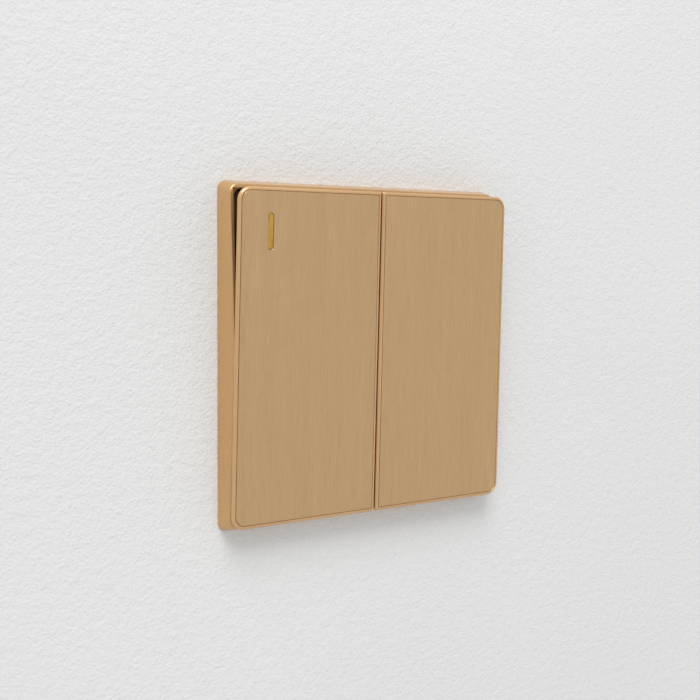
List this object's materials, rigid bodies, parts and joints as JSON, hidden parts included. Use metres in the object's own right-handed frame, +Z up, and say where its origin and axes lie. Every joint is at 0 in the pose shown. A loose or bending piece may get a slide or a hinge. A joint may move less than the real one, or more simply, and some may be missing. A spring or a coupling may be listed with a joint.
{
  "type": "rocker wall switch",
  "caption": "Square two-gang wall switch with full-width tilting rocker panels, brushed gold face plates, an indicator strip, sprung see-saw contacts and screw terminals.",
  "frame": {"origin": "middle of the plate on the wall surface, midway between the two box screw slots", "axes": "+X to the right across the plate, +Y into the wall, +Z up; the rockers face -Y"},
  "size_m": [0.086, 0.0334, 0.086],
  "materials": {
    "frame_gold": "satin metallic champagne gold moulding",
    "zinc_steel": "zinc-plated pressed steel",
    "housing_white": "moulded white insulating plastic",
    "screw_steel": "plated steel",
    "rocker_gold": "satin metallic champagne gold moulding",
    "brushed_gold": "vertically brushed, anodised champagne gold",
    "amber_strip": "translucent amber moulding",
    "arm_white": "moulded white low-friction plastic",
    "spring_steel": "drawn spring wire",
    "plunger_resin": "moulded low-friction plastic",
    "bridge_copper": "pressed copper strip",
    "contact_silver": "silver rivet",
    "terminal_brass": "machined and pressed brass"
  },
  "bodies": {
    "base": {"outer_frame": "frame_gold", "support_plate": "zinc_steel", "bearing_cover": "housing_white", "base_housing": "housing_white", "housing_screws": "screw_steel", "left_common_terminal": "terminal_brass", "left_upper_terminal": "terminal_brass", "left_lower_terminal": "terminal_brass", "left_fixed_contacts": "contact_silver", "left_terminal_screws": "screw_steel", "right_common_terminal": "terminal_brass", "right_upper_terminal": "terminal_brass", "right_lower_terminal": "terminal_brass", "right_fixed_contacts": "contact_silver", "right_terminal_screws": "screw_steel"},
    "left_rocker": {"left_rocker_body": "rocker_gold", "left_rocker_plate": "brushed_gold", "left_swing_arm": "arm_white", "left_spring": "spring_steel", "indicator_strip": "amber_strip"},
    "left_plunger": {"left_plunger": "plunger_resin"},
    "left_bridge": {"left_contact_bridge": "bridge_copper", "left_moving_contacts": "contact_silver"},
    "right_rocker": {"right_rocker_body": "rocker_gold", "right_rocker_plate": "brushed_gold", "right_swing_arm": "arm_white", "right_spring": "spring_steel"},
    "right_plunger": {"right_plunger": "plunger_resin"},
    "right_bridge": {"right_contact_bridge": "bridge_copper", "right_moving_contacts": "contact_silver"}
  },
  "joints": [
    {"name": "left_rocker_tilt", "type": "hinge", "parent": "base", "child": "left_rocker", "pos_m": [-0.01235, 0.004, 0], "axis": [-1, 0, 0], "range_deg": [0, 5]},
    {"name": "left_plunger_slide", "type": "slide", "parent": "left_rocker", "child": "left_plunger", "axis": [0, -0.999, -0.0436], "range_m": [0, 0.0008], "stiffness_N_per_m": 250, "springref_m": -0.003, "deforming": ["left_spring"]},
    {"name": "left_bridge_tilt", "type": "hinge", "parent": "base", "child": "left_bridge", "pos_m": [-0.01235, 0.01325, 0], "axis": [1, 0, 0], "range_deg": [0, 11]},
    {"name": "right_rocker_tilt", "type": "hinge", "parent": "base", "child": "right_rocker", "pos_m": [0.01235, 0.004, 0], "axis": [-1, 0, 0], "range_deg": [0, 5]},
    {"name": "right_plunger_slide", "type": "slide", "parent": "right_rocker", "child": "right_plunger", "axis": [0, -0.999, -0.0436], "range_m": [0, 0.0008], "stiffness_N_per_m": 250, "springref_m": -0.003, "deforming": ["right_spring"]},
    {"name": "right_bridge_tilt", "type": "hinge", "parent": "base", "child": "right_bridge", "pos_m": [0.01235, 0.01325, 0], "axis": [1, 0, 0], "range_deg": [0, 11]}
  ],
  "couplings": [
    {"joint": "left_bridge_tilt", "follows": "left_rocker_tilt", "ratio": 2.2},
    {"joint": "right_bridge_tilt", "follows": "right_rocker_tilt", "ratio": 2.2}
  ]
}
